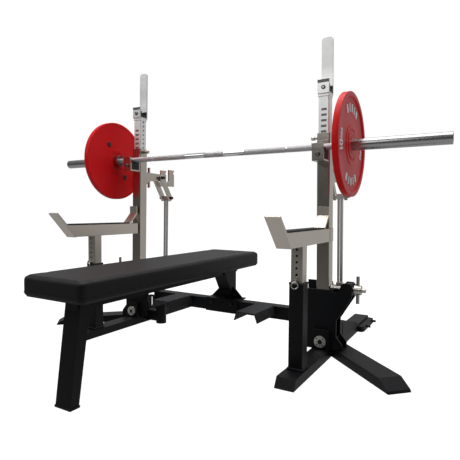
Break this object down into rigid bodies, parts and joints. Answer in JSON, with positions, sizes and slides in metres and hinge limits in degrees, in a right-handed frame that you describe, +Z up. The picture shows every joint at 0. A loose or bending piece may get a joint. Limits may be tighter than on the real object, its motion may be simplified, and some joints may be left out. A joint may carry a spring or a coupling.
{
  "type": "olympic bench press",
  "caption": "Flat bench joined to a competition rack with leaning height-adjustable uprights, bench cups, squat hooks, spotter arms, lift levers and a loaded bar",
  "frame": {"origin": "on the floor below the middle of the whole machine", "axes": "X along the bar, Y from the bench's foot end to its head end, Z up"},
  "size_m": [2.2, 1.793, 1.484],
  "materials": {
    "satin_black_frame": "satin powder coat with fine texture",
    "textured_black_step": "gritty anti-slip black coat",
    "black_rubber": "matt moulded rubber and hard plastic",
    "black_vinyl": "grained upholstery vinyl",
    "black_board": "plywood painted black",
    "black_bolts": "black oxide",
    "brushed_stainless": "brushed along the tube",
    "bright_stainless": "fine bright brushing",
    "bar_chrome": "chrome with knurled zones",
    "red_paint": "gloss enamel over cast steel",
    "hub_steel": "turned steel insert",
    "polished_steel": "turned stainless"
  },
  "bodies": {
    "frame": {"base_beam_left": "satin_black_frame", "base_beam_right": "satin_black_frame", "outer_foot_left": "satin_black_frame", "outer_foot_right": "satin_black_frame", "housing_left": "satin_black_frame", "housing_right": "satin_black_frame", "horn_nuts": "satin_black_frame", "cross_member": "satin_black_frame", "spotter_step_left": "textured_black_step", "spotter_step_right": "textured_black_step", "pivot_bolts": "polished_steel", "safety_sleeve_left": "satin_black_frame", "safety_sleeve_right": "satin_black_frame", "sleeve_bushes": "black_rubber", "bench_pad": "black_vinyl", "bench_board": "black_board", "bench_frame": "satin_black_frame", "bench_rear_leg": "satin_black_frame", "saddle_bolts": "black_bolts"},
    "upright_left": {"outer_tube_left": "brushed_stainless", "bench_cup_left": "brushed_stainless", "bench_cup_liner_left": "black_rubber"},
    "post_left": {"inner_post_left": "bright_stainless", "squat_hook_left": "bright_stainless", "squat_hook_liner_left": "black_rubber"},
    "height_pin_left": {"height_pin_left": "polished_steel", "pin_knob_left": "polished_steel"},
    "lever_left": {"lift_lever_left": "brushed_stainless", "lever_caps_left": "black_rubber"},
    "rod_left": {"lift_rod_left": "polished_steel"},
    "screw_pad_left": {"screw_pad_left": "polished_steel"},
    "tilt_screw_left": {"tilt_screw_left": "polished_steel"},
    "spotter_arm_left": {"spotter_arm_left": "brushed_stainless", "arm_strip_left": "black_rubber"},
    "safety_pin_left": {"safety_pin_left": "polished_steel"},
    "upright_right": {"outer_tube_right": "brushed_stainless", "bench_cup_right": "brushed_stainless", "bench_cup_liner_right": "black_rubber"},
    "post_right": {"inner_post_right": "bright_stainless", "squat_hook_right": "bright_stainless", "squat_hook_liner_right": "black_rubber"},
    "height_pin_right": {"height_pin_right": "polished_steel", "pin_knob_right": "polished_steel"},
    "lever_right": {"lift_lever_right": "brushed_stainless", "lever_caps_right": "black_rubber"},
    "rod_right": {"lift_rod_right": "polished_steel"},
    "screw_pad_right": {"screw_pad_right": "polished_steel"},
    "tilt_screw_right": {"tilt_screw_right": "polished_steel"},
    "spotter_arm_right": {"spotter_arm_right": "brushed_stainless", "arm_strip_right": "black_rubber"},
    "safety_pin_right": {"safety_pin_right": "polished_steel"},
    "bar": {"bar_shaft": "bar_chrome"},
    "sleeve_left": {"bar_sleeve_left": "bar_chrome", "sleeve_cap_left": "bar_chrome"},
    "weight_left": {"weight_plate_left": "red_paint", "plate_hub_left": "hub_steel"},
    "sleeve_right": {"bar_sleeve_right": "bar_chrome", "sleeve_cap_right": "bar_chrome"},
    "weight_right": {"weight_plate_right": "red_paint", "plate_hub_right": "hub_steel"}
  },
  "joints": [
    {"name": "upright_tilt_left", "type": "hinge", "parent": "frame", "child": "upright_left", "pos_m": [-0.578, 0.1635, 0.076], "axis": [0, -1, 0], "range_deg": [-0.8, 2.8]},
    {"name": "screw_pad_slide_left", "type": "slide", "parent": "frame", "child": "screw_pad_left", "axis": [-1, 0, 0], "range_m": [-0.008, 0.012]},
    {"name": "tilt_screw_turn_left", "type": "hinge", "parent": "screw_pad_left", "child": "tilt_screw_left", "pos_m": [-0.578, 0.1635, 0.32], "axis": [-1, 0, 0], "range_deg": [-260, 740]},
    {"name": "post_slide_left", "type": "slide", "parent": "upright_left", "child": "post_left", "axis": [0.0122, 0, 0.9999], "range_m": [-0.15, 0.275]},
    {"name": "height_pin_pull_left", "type": "slide", "parent": "upright_left", "child": "height_pin_left", "axis": [0.9999, 0, -0.0122], "range_m": [0, 0.01], "stiffness_N_per_m": 600, "springref_m": -0.002},
    {"name": "lift_lever_left", "type": "hinge", "parent": "upright_left", "child": "lever_left", "pos_m": [-0.5682, 0.3315, 0.87794], "axis": [0.9999, 0, -0.0122], "range_deg": [0, 50]},
    {"name": "lift_rod_swing_left", "type": "hinge", "parent": "lever_left", "child": "rod_left", "pos_m": [-0.56972, 0.4165, 0.75395], "axis": [0.9999, 0, -0.0122], "range_deg": [-50, 0]},
    {"name": "spotter_arm_slide_left", "type": "slide", "parent": "frame", "child": "spotter_arm_left", "axis": [0, 0, 1], "range_m": [0, 0.15]},
    {"name": "safety_pin_pull_left", "type": "slide", "parent": "spotter_arm_left", "child": "safety_pin_left", "axis": [0, -1, 0], "range_m": [0, 0.075]},
    {"name": "upright_tilt_right", "type": "hinge", "parent": "frame", "child": "upright_right", "pos_m": [0.578, 0.1635, 0.076], "axis": [0, 1, 0], "range_deg": [-0.8, 2.8]},
    {"name": "screw_pad_slide_right", "type": "slide", "parent": "frame", "child": "screw_pad_right", "axis": [1, 0, 0], "range_m": [-0.008, 0.012]},
    {"name": "tilt_screw_turn_right", "type": "hinge", "parent": "screw_pad_right", "child": "tilt_screw_right", "pos_m": [0.578, 0.1635, 0.32], "axis": [1, 0, 0], "range_deg": [-260, 740]},
    {"name": "post_slide_right", "type": "slide", "parent": "upright_right", "child": "post_right", "axis": [-0.0122, 0, 0.9999], "range_m": [-0.15, 0.275]},
    {"name": "height_pin_pull_right", "type": "slide", "parent": "upright_right", "child": "height_pin_right", "axis": [-0.9999, 0, -0.0122], "range_m": [0, 0.01], "stiffness_N_per_m": 600, "springref_m": -0.002},
    {"name": "lift_lever_right", "type": "hinge", "parent": "upright_right", "child": "lever_right", "pos_m": [0.5682, 0.3315, 0.87794], "axis": [0.9999, 0, 0.0122], "range_deg": [0, 50]},
    {"name": "lift_rod_swing_right", "type": "hinge", "parent": "lever_right", "child": "rod_right", "pos_m": [0.56972, 0.4165, 0.75395], "axis": [0.9999, 0, 0.0122], "range_deg": [-50, 0]},
    {"name": "spotter_arm_slide_right", "type": "slide", "parent": "frame", "child": "spotter_arm_right", "axis": [0, 0, 1], "range_m": [0, 0.15]},
    {"name": "safety_pin_pull_right", "type": "slide", "parent": "spotter_arm_right", "child": "safety_pin_right", "axis": [0, -1, 0], "range_m": [0, 0.075]},
    {"name": "bar_lift", "type": "slide", "parent": "frame", "child": "bar", "axis": [0, 0, 1], "range_m": [0, 0.45]},
    {"name": "sleeve_spin_left", "type": "hinge", "parent": "bar", "child": "sleeve_left", "pos_m": [-0.9, 0.0965, 0.964], "axis": [1, 0, 0], "continuous": true},
    {"name": "weight_slide_left", "type": "slide", "parent": "sleeve_left", "child": "weight_left", "axis": [-1, 0, 0], "range_m": [0, 0.38]},
    {"name": "sleeve_spin_right", "type": "hinge", "parent": "bar", "child": "sleeve_right", "pos_m": [0.9, 0.0965, 0.964], "axis": [1, 0, 0], "continuous": true},
    {"name": "weight_slide_right", "type": "slide", "parent": "sleeve_right", "child": "weight_right", "axis": [1, 0, 0], "range_m": [0, 0.38]}
  ],
  "couplings": [
    {"joint": "screw_pad_slide_left", "follows": "upright_tilt_left", "m_per_rad": 0.244},
    {"joint": "tilt_screw_turn_left", "follows": "upright_tilt_left", "ratio": 255.52},
    {"joint": "lift_rod_swing_left", "follows": "lift_lever_left", "ratio": -1},
    {"joint": "screw_pad_slide_right", "follows": "upright_tilt_right", "m_per_rad": 0.244},
    {"joint": "tilt_screw_turn_right", "follows": "upright_tilt_right", "ratio": 255.52},
    {"joint": "lift_rod_swing_right", "follows": "lift_lever_right", "ratio": -1}
  ]
}
